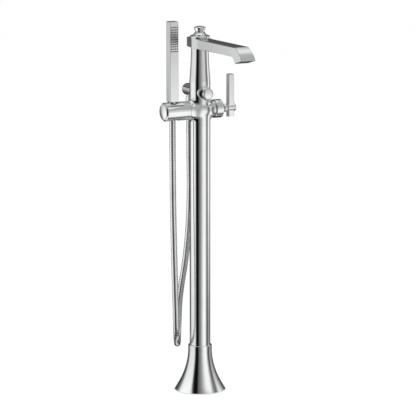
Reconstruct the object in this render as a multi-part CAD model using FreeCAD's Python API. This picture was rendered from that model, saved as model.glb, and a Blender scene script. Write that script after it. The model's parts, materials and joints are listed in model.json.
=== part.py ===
# Floor-standing tub filler with a lever mixer, a swivelling bar spout and a stick hand shower.
# Frame: +Z up, origin on the column axis at the floor. The spout points along -Y, the hand
# shower hangs on the -X side, the lever is on the +X side and the hose leaves at the back.
# All lengths are in millimetres.
import FreeCAD, Part
import math
import os

# Clearances and allowances
overrun = 2.0
running_fit = 0.06
slip_fit = 0.05
column_fit = 0.1
loose_gap = 0.35

# Mounting plate
plate_radius = 52.0
plate_thickness = 8.0
boss_height = 40.0
bolt_count = 4
bolt_circle_radius = 40.0
bolt_hole_radius = 4.5
inlet_radius = 9.3
inlet_offset = 11.0
inlet_depth = 26.0
gasket_inner_radius = 46.0
gasket_outer_radius = 50.0
gasket_thickness = 2.0

# Supply tubes inside the column
supply_radius = 5.0
supply_wall = 1.0
supply_lift = 2.0
tube_seal_width = 2.0
tube_seal_height = 2.5

# Column
column_radius = 25.8
column_wall = 2.5
set_screw_radius = 2.5
set_screw_height = 22.0
set_screw_depth = 9.0
set_screw_recess = 0.4
column_ring_height = 6.0
seam_chamfer = 0.4

# Base cover
cover_foot_radius = 65.7
cover_waist_radius = 40.4
cover_waist_height = 46.0
cover_neck_radius = 29.5
cover_neck_height = 98.0
cover_height = 115.0
cover_wall = 2.4
cover_rim_round = 1.6
cover_seal_width = 2.0
cover_seal_height = 3.0

# Valve body
valve_height = 708.5
body_below = 34.0
body_above = 72.0
body_spigot_length = 30.0
body_middle_radius = 29.0
body_fillet = 8.0
body_front_fillet = 20.0
arm_radius = 23.1
arm_seam = 35.0
cartridge_arm_radius = 21.5
cartridge_arm_length = 35.2
cartridge_arm_chamfer = 1.0
waterway_radius = 4.0
mixed_water_lift = 11.0
tube_seat_depth = 52.0
port_lift = 43.8
port_boss_radius = 17.5
port_boss_reach = 27.5
port_waterway_radius = 5.0
post_waterway_radius = 6.0

# Mixing cartridge, placed along X
cartridge_floor = 5.0
cartridge_radius = 17.5
cartridge_wall = 2.0
cartridge_gasket_thickness = 2.0
cartridge_base = 3.0
disc_thickness = 4.0
moving_disc_radius = 13.5
carrier_plate_thickness = 3.0
carrier_radius = 9.0
carrier_end = 50.0
cartridge_lid = 3.5
cartridge_end = 34.5
cartridge_nut_length = 6.0
cartridge_nut_bore = 12.0

# Lever pivot
pivot_place = 43.0
pivot_pin_radius = 2.5
pivot_pin_half_length = 8.6
fork_bottom = 36.0
fork_half_width = 4.1

# Bonnet
bonnet_spigot_wall = 2.0
bonnet_spigot_length = 6.0
bonnet_groove = 1.0
bonnet_end = 57.0
bonnet_wall = 2.2
bonnet_mouth_radius = 12.5
bonnet_chamfer = 1.6

# Lever stem and its dome
stem_radius = 4.0
stem_start = 39.0
stem_neck_radius = 5.2
stem_neck_start = 60.2
bead_start = 63.0
bead_middle = 69.4
bead_radius = 10.0
stem_shoulder_radius = 6.5
stem_end = 92.6
dome_radius = 16.7
dome_wall = 1.5
dome_half_angle = 65.0

# Lever handle
handle_start = 76.2
handle_inner_face = 77.2
handle_outer_face = 91.9
handle_hub_end = 97.8
handle_hub_radius = 9.8
handle_hub_round = 3.0
handle_half_width = 7.9
handle_rise = 84.0
handle_tail = 22.3
handle_flare_rise = 19.6
handle_edge_round = 1.6
handle_screw_radius = 2.0
handle_screw_recess = 0.6

# Diverter, placed along -Y
diverter_radius = 9.0
diverter_inner_end = 12.0
diverter_outer_end = 25.0
diverter_stem_radius = 4.0
diverter_stem_inner_end = 9.0
diverter_stem_outer_end = 46.4
diverter_port_radius = 2.6
diverter_bonnet_radius = 17.0
diverter_bonnet_rim = 1.4
diverter_bonnet_end = 39.8
diverter_bonnet_tip_radius = 7.6
diverter_knob_start = 41.6
diverter_knob_end = 48.4
diverter_knob_radius = 13.5
diverter_knob_round = 1.2
diverter_peg_radius = 4.7
diverter_peg_reach = 20.5
diverter_peg_round = 1.5
diverter_screw_radius = 1.5
diverter_screw_recess = 0.5

# Upper post
post_length = 80.2
post_top_radius = 21.5
post_middle_radius = 22.9
post_middle_height = 40.0
spigot_radius = 17.0
swivel_washer_thickness = 1.5
swivel_washer_radius = 21.0
seal_width = 1.8
seal_height = 2.4
seal_margin = 1.2
spout_port_radius = 5.5

# Spout
spout_height = 23.4
spout_half_width = 19.2
spout_back = 44.0
spout_tail_start = 8.0
spout_tail_half_width = 13.5
spout_collar_radius = 22.2
spout_blend = 150.0
spout_wall = 4.5
spout_bend_start = 218.8
spout_bend_middle_out = 19.8
spout_bend_middle_drop = 12.2
spout_tip_out = 34.5
spout_tip_drop = 29.5
spout_heel_drop = 38.8
spout_inner_bend_back = 16.0
spout_inner_middle_back = 6.5
spout_inner_middle_drop = 31.0
spout_edge_bevel = 1.2
outlet_half_width = 14.0
outlet_half_length = 10.5
former_recess = 1.5
former_thickness = 4.6
former_slot_count = 4
former_slot_half_width = 1.4
former_rib = 2.0

# Finial
finial_base_radius = 23.6
finial_base_height = 3.4
finial_rim_radius = 24.7
finial_rim_height = 5.9
finial_rim_round = 0.9
finial_flare_radius = 14.6
finial_flare_height = 10.6
finial_waist_radius = 11.2
finial_waist_height = 15.9
finial_cup_radius = 12.9
finial_cup_height = 20.3
finial_knob_radius = 14.3
finial_knob_height = 24.9
finial_knob_rim = 1.2
finial_height = 29.7
finial_stud_radius = 5.0
finial_stud_length = 13.0
finial_washer_thickness = 0.8

# Cradle arm
arm_end = 101.0
arm_end_chamfer = 3.4
arm_stud_radius = 6.0
arm_stud_in_body = 14.0
arm_stud_in_arm = 18.0
arm_cap_recess_radius = 17.0
arm_cap_recess_depth = 7.0
cap_groove = 0.3
cap_radius = 19.4
cap_rim = 0.4
cap_dome = 3.0
cap_spigot_length = 6.0
cap_seal_width = 1.6
cap_seal_height = 2.2

# Cradle bushing
cradle_place = 75.7
bushing_radius = 12.4
bushing_flange_radius = 13.6
bushing_flange_height = 2.5
bushing_below_crest = 1.2
bushing_foot_lift = 3.2
bushing_bore = 8.4

# Hose outlet elbow
elbow_radius = 15.0
elbow_place = 57.2
elbow_end = 72.0
elbow_end_round = 5.0
elbow_seal_thickness = 1.0
elbow_seal_inner_radius = 8.0
elbow_neck_radius = 5.8
elbow_neck_drop = 17.0
elbow_thread_radius = 7.0
elbow_thread_drop = 29.0
elbow_waterway_radius = 4.0

# Hose and its nuts
hose_radius = 7.7
hose_valley_radius = 6.9
hose_bore = 5.0
hose_pitch = 6.6
hose_most_ribs = 200
hose_rib_shares = (0.0, 0.18, 0.66, 0.84)
hose_arc_share = 0.45
hose_washer_thickness = 2.0
hose_end_height = 693.5
nut_bore = 4.6
elbow_nut_radius = 8.7
elbow_nut_foot_radius = 8.0
elbow_nut_cone = 9.0
cradle_nut_flange_radius = 12.6
cradle_nut_flange_height = 1.6
cradle_nut_top_radius = 10.6
cradle_nut_foot_radius = 7.9
cradle_nut_cone = 27.0

# Hand shower
handset_half_width = 11.7
handset_half_depth = 11.2
handset_length = 197.4
handset_gap = 1.3
handset_edge_round = 1.3
handset_side_wall = 1.6
handset_face_wall = 2.6
handset_top_wall = 5.0
handset_plug_height = 10.0
handset_collar_radius = 8.6
handset_nipple_radius = 6.0
handset_nipple_length = 25.0
nozzle_rows = 11
nozzle_columns = 4
nozzle_row_pitch = 5.9
nozzle_column_pitch = 5.2
nozzle_top_margin = 14.0
nozzle_half_width = 2.0
nozzle_half_height = 1.35
nozzle_reach = 0.8
mat_thickness = 1.6
mat_margin = 3.5

# Places worked out from the sizes above
column_bore = column_radius - column_wall
boss_top = plate_thickness + boss_height
body_bottom = valve_height - body_below
body_top = valve_height + body_above
ring_bottom = body_bottom - column_ring_height
port_height = valve_height + port_lift
bonnet_spigot_radius = cartridge_radius + bonnet_spigot_wall
post_top = body_top + post_length
spout_bottom = post_top + swivel_washer_thickness
spout_top = spout_bottom + spout_height
finial_bottom = spout_top + finial_washer_thickness
arm_crest = valve_height + arm_radius
bushing_top = arm_crest - bushing_below_crest
handset_bottom = bushing_top + cradle_nut_flange_height + handset_gap

# Route of the hose from the elbow down to its loop and up to the cradle, chosen by hand
hose_route = [
    (0.0, 57.2, 693.5),
    (0.0, 57.2, 612.0),
    (4.4, 61.5, 469.0),
    (-1.8, 69.5, 334.0),
    (-15.2, 84.0, 224.0),
    (-16.0, 88.3, 148.5),
    (-44.3, 36.8, 106.3),
    (-75.2, -17.9, 140.0),
    (-77.6, -19.9, 214.6),
    (-78.5, -14.7, 324.6),
    (-75.2, -1.7, 459.5),
    (-75.7, 0.0, 610.0),
    (-75.7, 0.0, 693.5),
]

vec = FreeCAD.Vector
AXES = {"x": vec(1, 0, 0), "y": vec(0, 1, 0), "z": vec(0, 0, 1)}


def rod(axis, radius, start, end, x=0, y=0, z=0):
    """Cylinder along an axis between two places on it, through the point x, y, z."""
    direction = AXES[axis]
    base = vec(x, y, z) + direction * (start - vec(x, y, z).dot(direction))
    if end < start:
        direction = -direction
    return Part.makeCylinder(radius, abs(end - start), base, direction)


def pipe(axis, outer, inner, start, end, x=0, y=0, z=0):
    """Cylinder with a bore."""
    low = min(start, end)
    high = max(start, end)
    bore = rod(axis, inner, low - overrun, high + overrun, x, y, z)
    return rod(axis, outer, low, high, x, y, z).cut(bore)


def block(x_range, y_range, z_range):
    """Box between two places on each axis."""
    size = [abs(b - a) for a, b in (x_range, y_range, z_range)]
    return Part.makeBox(*size, vec(min(x_range), min(y_range), min(z_range)))


def outline(start, steps, place):
    """Closed face from a start point and steps: (point,) is a line, (middle, point) an arc."""
    edges = []
    here = start
    for step in steps:
        if len(step) == 1:
            edges.append(Part.makeLine(place(here), place(step[0])))
        else:
            edges.append(Part.Arc(place(here), place(step[0]), place(step[1])).toShape())
        here = step[-1]
    if here != start:
        edges.append(Part.makeLine(place(here), place(start)))
    return Part.Face(Part.Wire(edges))


def turned(axis, start, steps, x=0, y=0, z=0, sign=1):
    """Solid of revolution about an axis from an outline of (radius, place along the axis)."""
    direction = AXES[axis]
    across = AXES["y"] if axis == "x" else AXES["x"]
    base = vec(x, y, z)
    base = base - direction * base.dot(direction)

    def place(point):
        return base + across * point[0] + direction * (sign * point[1])

    return outline(start, steps, place).revolve(base, direction, 360)


def dome_step(radius, base, top):
    """Arc step of a low dome whose centre lies on the axis."""
    rise = abs(top - base)
    sphere = (radius ** 2 + rise ** 2) / (2 * rise)
    middle = top - math.copysign(sphere - math.sqrt(sphere ** 2 - (radius / 2) ** 2), top - base)
    return (radius / 2, middle), (0, top)


def rounded(shape, radius, wanted):
    """Fillet of the edges that a test picks."""
    return shape.makeFillet(radius, [edge for edge in shape.Edges if wanted(edge)])


def at(edge, name, value):
    """Whether an edge lies in the plane where a coordinate has a value."""
    box = edge.BoundBox
    low, high = {"x": (box.XMin, box.XMax), "y": (box.YMin, box.YMax), "z": (box.ZMin, box.ZMax)}[name]
    return abs(low - value) < slip_fit and abs(high - value) < slip_fit


def group(shapes):
    """Separate solids in one node."""
    return Part.makeCompound(shapes)


def bolt_places():
    """Centres of the floor bolts."""
    for number in range(bolt_count):
        angle = 2 * math.pi * (number + 0.5) / bolt_count
        yield bolt_circle_radius * math.cos(angle), bolt_circle_radius * math.sin(angle)


# Base and column
def mounting_plate():
    plate = rod("z", plate_radius, 0, plate_thickness)
    plate = plate.fuse(rod("z", column_bore - column_fit, 0, boss_top))
    cuts = [rod("z", bolt_hole_radius, -overrun, plate_thickness + overrun, x, y) for x, y in bolt_places()]
    cuts.append(pipe("z", gasket_outer_radius, gasket_inner_radius, -overrun, gasket_thickness))
    for side in (-1, 1):
        y = side * inlet_offset
        cuts.append(rod("z", inlet_radius, -overrun, inlet_depth, 0, y))
        cuts.append(rod("z", supply_radius + slip_fit, 0, boss_top + overrun, 0, y))
        seal_seat = boss_top - tube_seal_height
        cuts.append(rod("z", supply_radius + tube_seal_width, seal_seat, boss_top + overrun, 0, y))
        cuts.append(set_screw_bore(side))
    return plate.cut(cuts)


def set_screw_bore(side):
    """Threaded hole for a column screw on one side."""
    outer = column_radius + overrun
    inner = column_radius - set_screw_depth
    return rod("x", set_screw_radius + slip_fit, side * inner, side * outer, 0, 0, set_screw_place())


def set_screw_place():
    return plate_thickness + set_screw_height


def column_set_screws():
    outer = column_radius - set_screw_recess
    inner = column_radius - set_screw_depth
    return group([rod("x", set_screw_radius, side * inner, side * outer, 0, 0, set_screw_place())
                  for side in (-1, 1)])


def floor_gasket():
    return pipe("z", gasket_outer_radius - slip_fit, gasket_inner_radius + slip_fit, 0, gasket_thickness)


def supply_tube(side):
    start = inlet_depth + supply_lift
    end = valve_height - tube_seat_depth + body_spigot_length
    return pipe("z", supply_radius, supply_radius - supply_wall, start, end, 0, side * inlet_offset)


def hot_supply_tube():
    return supply_tube(1)


def cold_supply_tube():
    return supply_tube(-1)


def supply_tube_seals():
    outer = supply_radius + tube_seal_width - slip_fit
    inner = supply_radius + slip_fit
    return group([pipe("z", outer, inner, boss_top - tube_seal_height, boss_top, 0, side * inlet_offset)
                  for side in (-1, 1)])


def column_tube():
    tube = pipe("z", column_radius, column_bore, plate_thickness, ring_bottom)
    return tube.cut([set_screw_bore(side) for side in (-1, 1)])


def column_ring():
    return turned("z", (column_bore, ring_bottom), [
        ((column_radius - seam_chamfer, ring_bottom),),
        ((column_radius, ring_bottom + seam_chamfer),),
        ((column_radius, body_bottom - seam_chamfer),),
        ((column_radius - seam_chamfer, body_bottom),),
        ((column_bore, body_bottom),),
    ])


def cover_seal_bottom():
    return (cover_neck_height + cover_height - cover_seal_height) / 2


def base_cover():
    inner = column_radius + loose_gap
    rim = cover_height - cover_rim_round
    corner = cover_rim_round * (1 - math.sqrt(0.5))
    cover = turned("z", (cover_foot_radius, 0), [
        ((cover_waist_radius, cover_waist_height), (cover_neck_radius, cover_neck_height)),
        ((cover_neck_radius, rim),),
        ((cover_neck_radius - corner, cover_height - corner),
         (cover_neck_radius - cover_rim_round, cover_height)),
        ((inner, cover_height),),
        ((inner, 0),),
    ])
    hollow = turned("z", (cover_foot_radius - cover_wall, 0), [
        ((cover_waist_radius - cover_wall, cover_waist_height - cover_wall / 2),
         (cover_neck_radius - cover_wall, cover_neck_height - cover_wall)),
        ((0, cover_neck_height - cover_wall),),
        ((0, 0),),
    ])
    low = cover_seal_bottom()
    groove = pipe("z", inner + cover_seal_width, column_radius, low, low + cover_seal_height)
    return cover.cut([hollow, groove])


def base_seal_ring():
    low = cover_seal_bottom()
    outer = column_radius + loose_gap + cover_seal_width - slip_fit
    return pipe("z", outer, column_radius + slip_fit, low, low + cover_seal_height)


# Valve body
def swelling_arm(radius, length, chamfer):
    """Arm along X that swells smoothly from its end to the middle of the cross."""
    end = length - chamfer
    swell = Part.BezierCurve()
    swell.setPoles([vec(0, body_middle_radius, 0), vec(end / 2, body_middle_radius, 0),
                    vec(end / 2, radius, 0), vec(end, radius, 0)])
    corners = [vec(end, radius, 0), vec(length, radius - chamfer, 0), vec(length, 0, 0), vec(),
               vec(0, body_middle_radius, 0)]
    edges = [Part.makeLine(before, after) for before, after in zip(corners, corners[1:])]
    return Part.Face(Part.Wire([swell.toShape()] + edges)).revolve(vec(), AXES["x"], 360)


def body_corner(radius, length, chamfer, height):
    """Eighth of the cross, whose corner fillet widens from the crest of the arm to the front."""
    reach = length + height
    cross = rod("z", column_radius, 0, height).fuse(swelling_arm(radius, length, chamfer))
    eighth = cross.common(block((0, reach), (-reach, 0), (0, reach))).removeSplitter()

    def crossing(edge):
        box = edge.BoundBox
        return min(box.XLength, box.YLength, box.ZLength) > slip_fit

    edges = [edge for edge in eighth.Edges if crossing(edge)]
    return eighth.makeFillet(body_fillet, body_front_fillet, edges)


def body_form():
    """Cross of the casting, mirrored from its corners."""
    corners = []
    cradle_side = (-1, arm_radius, arm_seam, seam_chamfer)
    lever_side = (1, cartridge_arm_radius, cartridge_arm_length, cartridge_arm_chamfer)
    for side, radius, length, chamfer in (cradle_side, lever_side):
        for height, up in ((body_above, 1), (body_below, -1)):
            corner = body_corner(radius, length, chamfer, height)
            if side < 0:
                corner = corner.mirror(vec(), AXES["x"])
            if up < 0:
                corner = corner.mirror(vec(), AXES["z"])
            corners.append(corner)
            corners.append(corner.mirror(vec(), AXES["y"]))
    cross = corners[0].fuse(corners[1:]).removeSplitter()
    cross.translate(vec(0, 0, valve_height))
    return cross


def chamfered(shape, size, wanted):
    """Chamfer of the edges that a test picks."""
    return shape.makeChamfer(size, [edge for edge in shape.Edges if wanted(edge)])


def valve_body():
    body = body_form()
    spigot_bottom = body_bottom - body_spigot_length
    spigot_end = cartridge_arm_length + bonnet_spigot_length
    body = body.fuse([
        rod("z", column_bore - column_fit, spigot_bottom, body_bottom),
        rod("x", bonnet_spigot_radius, 0, spigot_end, 0, 0, valve_height),
        rod("y", port_boss_radius, -port_boss_reach, port_boss_reach, 0, 0, port_height),
    ])
    mixed = valve_height + mixed_water_lift
    cuts = [
        rod("x", cartridge_radius + slip_fit, cartridge_floor, spigot_end + overrun, 0, 0, valve_height),
        rod("x", waterway_radius, 0, cartridge_floor + overrun, 0, 0, mixed),
        rod("z", waterway_radius, mixed, port_height),
        rod("y", diverter_radius, -port_boss_reach - overrun, diverter_inner_end, 0, 0, port_height),
        rod("y", port_waterway_radius, 0, port_boss_reach + overrun, 0, 0, port_height),
        rod("z", post_waterway_radius, port_height, body_top + overrun),
        rod("x", arm_stud_radius + slip_fit, -arm_seam - overrun, arm_stud_in_body - arm_seam, 0, 0,
            valve_height),
    ]
    tube_seat = valve_height - tube_seat_depth + body_spigot_length
    for side in (-1, 1):
        y = side * inlet_offset
        cuts.append(rod("z", supply_radius + slip_fit, spigot_bottom - overrun, tube_seat, 0, y))
        cuts.append(rod("z", waterway_radius, spigot_bottom, valve_height, 0, y))
        cuts.append(rod("x", waterway_radius, 0, cartridge_floor + overrun, 0, y, valve_height))
    return body.cut(cuts)


# Mixing cartridge
def cartridge_start():
    return cartridge_floor + cartridge_gasket_thickness


def discs_start():
    return cartridge_start() + cartridge_base


def water_holes(start, end):
    """Bores for hot, cold and mixed water through a cartridge piece."""
    holes = [rod("x", waterway_radius, start, end, 0, side * inlet_offset, valve_height) for side in (-1, 1)]
    holes.append(rod("x", waterway_radius, start, end, 0, 0, valve_height + mixed_water_lift))
    return holes


def cartridge_gasket():
    gasket = rod("x", cartridge_radius - slip_fit, cartridge_floor, cartridge_start(), 0, 0, valve_height)
    return gasket.cut(water_holes(cartridge_floor - overrun, cartridge_start() + overrun))


def cartridge_housing():
    inner = cartridge_radius - cartridge_wall
    housing = rod("x", cartridge_radius, cartridge_start(), cartridge_end, 0, 0, valve_height)
    cuts = water_holes(cartridge_start() - overrun, discs_start() + overrun)
    cuts.append(rod("x", inner, discs_start(), cartridge_end - cartridge_lid, 0, 0, valve_height))
    mouth = carrier_radius + running_fit
    cuts.append(rod("x", mouth, discs_start(), cartridge_end + overrun, 0, 0, valve_height))
    return housing.cut(cuts)


def fixed_disc():
    end = discs_start() + disc_thickness
    disc = rod("x", cartridge_radius - cartridge_wall - slip_fit, discs_start(), end, 0, 0, valve_height)
    return disc.cut(water_holes(discs_start() - overrun, end + overrun))


def moving_disc():
    start = discs_start() + disc_thickness
    disc = rod("x", moving_disc_radius, start, start + disc_thickness, 0, 0, valve_height)
    pocket = rod("x", waterway_radius, start - overrun, start + disc_thickness / 2, 0, 0, valve_height)
    return disc.cut(pocket)


def cartridge_carrier():
    start = discs_start() + 2 * disc_thickness
    plate_radius_inside = cartridge_radius - cartridge_wall - loose_gap
    plate = rod("x", plate_radius_inside, start, start + carrier_plate_thickness, 0, 0, valve_height)
    shaft = rod("x", carrier_radius, start, carrier_end, 0, 0, valve_height)
    reach = carrier_radius + overrun
    slot = block((fork_bottom, carrier_end + overrun), (-fork_half_width, fork_half_width),
                 (valve_height - reach, valve_height + reach))
    return plate.fuse(shaft).cut([slot, pivot_bore(slip_fit)])


def pivot_bore(clearance):
    """Cross bore for the pivot pin."""
    reach = carrier_radius + overrun
    return rod("y", pivot_pin_radius + clearance, -reach, reach, pivot_place, 0, valve_height)


def lever_pivot_pin():
    reach = pivot_pin_half_length
    return rod("y", pivot_pin_radius, -reach, reach, pivot_place, 0, valve_height)


def cartridge_nut():
    end = cartridge_end + cartridge_nut_length
    return pipe("x", cartridge_radius, cartridge_nut_bore, cartridge_end, end, 0, 0, valve_height)


def valve_bonnet():
    start = cartridge_arm_length + bonnet_groove
    seat = cartridge_arm_length + bonnet_spigot_length
    thread = bonnet_spigot_radius + slip_fit
    return turned("x", (thread, start), [
        ((arm_radius - bonnet_chamfer, start),),
        ((arm_radius, start + bonnet_chamfer),),
        ((arm_radius, bonnet_end - bonnet_chamfer),),
        ((arm_radius - bonnet_chamfer, bonnet_end),),
        ((bonnet_mouth_radius, bonnet_end),),
        ((bonnet_mouth_radius, bonnet_end - bonnet_wall),),
        ((thread, bonnet_end - bonnet_wall),),
        ((thread, seat),),
    ], 0, 0, valve_height)


# Lever
def lever_stem():
    stem = turned("x", (0, stem_start), [
        ((stem_radius, stem_start),),
        ((stem_radius, stem_neck_start),),
        ((stem_neck_radius, stem_neck_start),),
        ((stem_neck_radius, bead_start),),
        ((bead_radius, bead_middle), (stem_shoulder_radius, handle_start)),
        ((stem_radius, handle_start),),
        ((stem_radius, stem_end),),
        ((0, stem_end),),
    ], 0, 0, valve_height)
    return stem.cut(pivot_bore(running_fit))


def stem_dome():
    sphere = Part.makeSphere(dome_radius, vec(pivot_place, 0, valve_height))
    hollow = Part.makeSphere(dome_radius - dome_wall, vec(pivot_place, 0, valve_height))
    edge = pivot_place + dome_radius * math.cos(math.radians(dome_half_angle))
    reach = dome_radius + overrun
    keep = rod("x", reach, edge, pivot_place + reach, 0, 0, valve_height)
    bore = rod("x", stem_radius + slip_fit, pivot_place, pivot_place + reach, 0, 0, valve_height)
    return sphere.cut(hollow).common(keep).cut(bore)


def lever_handle():
    low = valve_height - handle_tail
    high = valve_height + handle_rise
    hub_high = valve_height + handle_hub_radius
    flare_out = (handle_hub_end - handle_hub_round - handle_outer_face) / 3
    flare_high = valve_height + handle_flare_rise
    middle_high = (flare_high + hub_high) / 2 - flare_out
    tip = handle_hub_end - handle_hub_round

    def place(point):
        return vec(point[0], -handle_half_width, point[1])

    side = outline((handle_inner_face, low), [
        ((handle_inner_face, high),),
        ((handle_outer_face, high),),
        ((handle_outer_face, flare_high),),
        ((handle_outer_face + flare_out, middle_high), (tip, hub_high)),
        ((tip, valve_height),),
        ((handle_outer_face, valve_height),),
        ((handle_outer_face, low),),
    ], place)
    bar = side.extrude(vec(0, 2 * handle_half_width, 0))
    bar = rounded(bar, handle_edge_round, lambda edge: at(edge, "z", high) or upright(edge))
    hub = rod("x", handle_hub_radius, handle_start, handle_hub_end, 0, 0, valve_height)
    hub = rounded(hub, handle_hub_round, lambda edge: at(edge, "x", handle_hub_end))
    bore = rod("x", stem_radius + slip_fit, handle_start - overrun, stem_end, 0, 0, valve_height)
    screw_end = handle_hub_radius + overrun
    screw = rod("y", handle_screw_radius + slip_fit, 0, screw_end, handle_middle(), 0, valve_height)
    return bar.fuse(hub).cut([bore, screw])


def upright(edge):
    """Whether a straight edge runs along Z."""
    box = edge.BoundBox
    return box.XLength < slip_fit and box.YLength < slip_fit


def handle_middle():
    return (handle_inner_face + handle_outer_face) / 2


def lever_set_screw():
    start = stem_radius + slip_fit
    end = handle_hub_radius - handle_screw_recess
    return rod("y", handle_screw_radius, start, end, handle_middle(), 0, valve_height)


# Diverter
def diverter_cartridge():
    sleeve = pipe("y", diverter_radius - slip_fit, diverter_stem_radius + running_fit,
                  -diverter_outer_end, diverter_inner_end, 0, 0, port_height)
    reach = diverter_radius + overrun
    return sleeve.cut(rod("z", diverter_port_radius, port_height - reach, port_height + reach))


def diverter_bonnet():
    return turned("y", (diverter_stem_radius + running_fit, diverter_outer_end), [
        ((diverter_radius - slip_fit, diverter_outer_end),),
        ((diverter_radius - slip_fit, port_boss_reach),),
        ((diverter_bonnet_radius, port_boss_reach),),
        ((diverter_bonnet_radius, port_boss_reach + diverter_bonnet_rim),),
        ((diverter_bonnet_tip_radius + diverter_bonnet_rim, diverter_bonnet_end - 2 * diverter_bonnet_rim),
         (diverter_bonnet_tip_radius, diverter_bonnet_end)),
        ((diverter_stem_radius + running_fit, diverter_bonnet_end),),
    ], 0, 0, port_height, -1)


def diverter_stem():
    stem = rod("y", diverter_stem_radius, -diverter_stem_outer_end, diverter_stem_inner_end,
               0, 0, port_height)
    reach = diverter_stem_radius + overrun
    return stem.cut(rod("z", diverter_port_radius, port_height - reach, port_height + reach))


def knob_middle():
    return -(diverter_knob_start + diverter_knob_end) / 2


def diverter_screw_bore():
    top = port_height + diverter_knob_radius + overrun
    return rod("z", diverter_screw_radius + slip_fit, port_height, top, 0, knob_middle())


def diverter_knob():
    disc = rod("y", diverter_knob_radius, -diverter_knob_start, -diverter_knob_end, 0, 0, port_height)
    disc = rounded(disc, diverter_knob_round, lambda edge: not straight(edge))
    end = port_height - diverter_peg_reach
    peg = rod("z", diverter_peg_radius, end, port_height - diverter_stem_radius, 0, knob_middle())
    peg = rounded(peg, diverter_peg_round, lambda edge: at(edge, "z", end))
    bore = rod("y", diverter_stem_radius + slip_fit, -diverter_stem_outer_end, overrun, 0, 0, port_height)
    return disc.fuse(peg).cut([bore, diverter_screw_bore()])


def straight(edge):
    """Whether an edge is a line."""
    return isinstance(edge.Curve, Part.Line)


def diverter_set_screw():
    start = port_height + diverter_stem_radius + slip_fit
    end = port_height + diverter_knob_radius - diverter_screw_recess
    return rod("z", diverter_screw_radius, start, end, 0, knob_middle())


# Upper post and spout
def seal_bottoms():
    """Lower faces of the two rings in the spigot."""
    return (spout_bottom + seal_margin, spout_top - seal_margin - seal_height)


def upper_post():
    post = turned("z", (0, body_top), [
        ((column_radius - seam_chamfer, body_top),),
        ((column_radius, body_top + seam_chamfer),),
        ((post_middle_radius, body_top + post_middle_height), (post_top_radius, post_top)),
        ((spigot_radius, post_top),),
        ((spigot_radius, finial_bottom),),
        ((0, finial_bottom),),
    ])
    stud_bottom = finial_bottom - finial_stud_length
    middle = (spout_bottom + spout_top) / 2
    cuts = [
        rod("z", post_waterway_radius, body_top - overrun, middle),
        rod("y", spout_port_radius, -spigot_radius - overrun, 0, 0, 0, middle),
        rod("z", finial_stud_radius + slip_fit, stud_bottom, finial_bottom + overrun),
    ]
    for low in seal_bottoms():
        cuts.append(pipe("z", spigot_radius + overrun, spigot_radius - seal_width, low, low + seal_height))
    return post.cut(cuts)


def post_seals():
    return group([pipe("z", spigot_radius, spigot_radius - seal_width + slip_fit, low, low + seal_height)
                  for low in seal_bottoms()])


def collar_washer(low, high):
    """Flat washer around the spigot."""
    return pipe("z", swivel_washer_radius, spigot_radius + loose_gap, low, high)


def swivel_washer():
    return collar_washer(post_top, spout_bottom)


def finial_washer():
    return collar_washer(spout_top, finial_bottom)


def tip_points():
    """Front corner and rear corner of the outlet face, as (reach, height)."""
    front = (spout_bend_start + spout_tip_out, spout_top - spout_tip_drop)
    rear = (spout_bend_start, spout_top - spout_heel_drop)
    return front, rear


def spout_side(back, half_width):
    """Side outline of the bar, from its back end to its down-turned tip."""
    front, rear = tip_points()
    bend = spout_bend_start

    def place(point):
        return vec(-half_width, -point[0], point[1])

    return outline((-back, spout_bottom), [
        ((bend - spout_inner_bend_back, spout_bottom),),
        ((bend - spout_inner_middle_back, spout_top - spout_inner_middle_drop), rear),
        (front,),
        ((bend + spout_bend_middle_out, spout_top - spout_bend_middle_drop), (bend, spout_top)),
        ((-back, spout_top),),
    ], place)


def outlet_frame():
    """Placement at the middle of the outlet face: X across, Y forward along it, Z into the spout."""
    front, rear = tip_points()
    middle = vec(0, -(front[0] + rear[0]) / 2, (front[1] + rear[1]) / 2)
    forward = vec(0, rear[0] - front[0], front[1] - rear[1]).normalize()
    across = vec(-1, 0, 0)
    return FreeCAD.Placement(middle, FreeCAD.Rotation(across, forward, across.cross(forward), "XYZ"))


def spout_web(side):
    """Web beside the post that blends the collar into one side of the bar with a wide arc."""
    reach = spout_collar_radius + spout_blend
    out = spout_half_width + spout_blend
    forward = math.sqrt(reach ** 2 - out ** 2)
    near = spout_collar_radius / reach

    def place(point):
        return vec(side * point[0], -point[1], spout_bottom)

    def on_blend(angle):
        return out - spout_blend * math.cos(angle), forward - spout_blend * math.sin(angle)

    turn = math.asin(forward / reach)
    web = outline((0, 0), [
        ((out * near, forward * near),),
        (on_blend(turn / 2), (spout_half_width, forward)),
        ((0, forward),),
    ], place)
    return web.extrude(vec(0, 0, spout_height))


def tail_cut(side):
    """Wedge that narrows one side of the bar towards its back end."""
    slope = (spout_half_width - spout_tail_half_width) / (spout_back - spout_tail_start)
    wide = spout_half_width + slope * overrun
    end = spout_back + overrun

    def place(point):
        return vec(side * point[0], point[1], spout_bottom - overrun)

    wedge = outline((wide, spout_tail_start - overrun), [
        ((wide, end),),
        ((spout_tail_half_width - slope * overrun, end),),
    ], place)
    return wedge.extrude(vec(0, 0, spout_height + 2 * overrun))


def spout_bar():
    """Bar with bevels along the edges of its two sides and a narrowing tail."""
    side = spout_side(spout_back, spout_half_width)
    inset = side.makeOffset2D(-spout_edge_bevel, join=2)
    width = 2 * spout_half_width
    places = ((inset, 0), (side, spout_edge_bevel), (side, width - spout_edge_bevel), (inset, width))
    sections = []
    for face, place in places:
        section = face.OuterWire.copy()
        section.translate(vec(place, 0, 0))
        sections.append(section)
    return Part.makeLoft(sections, True, True).cut([tail_cut(-1), tail_cut(1)])


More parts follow.
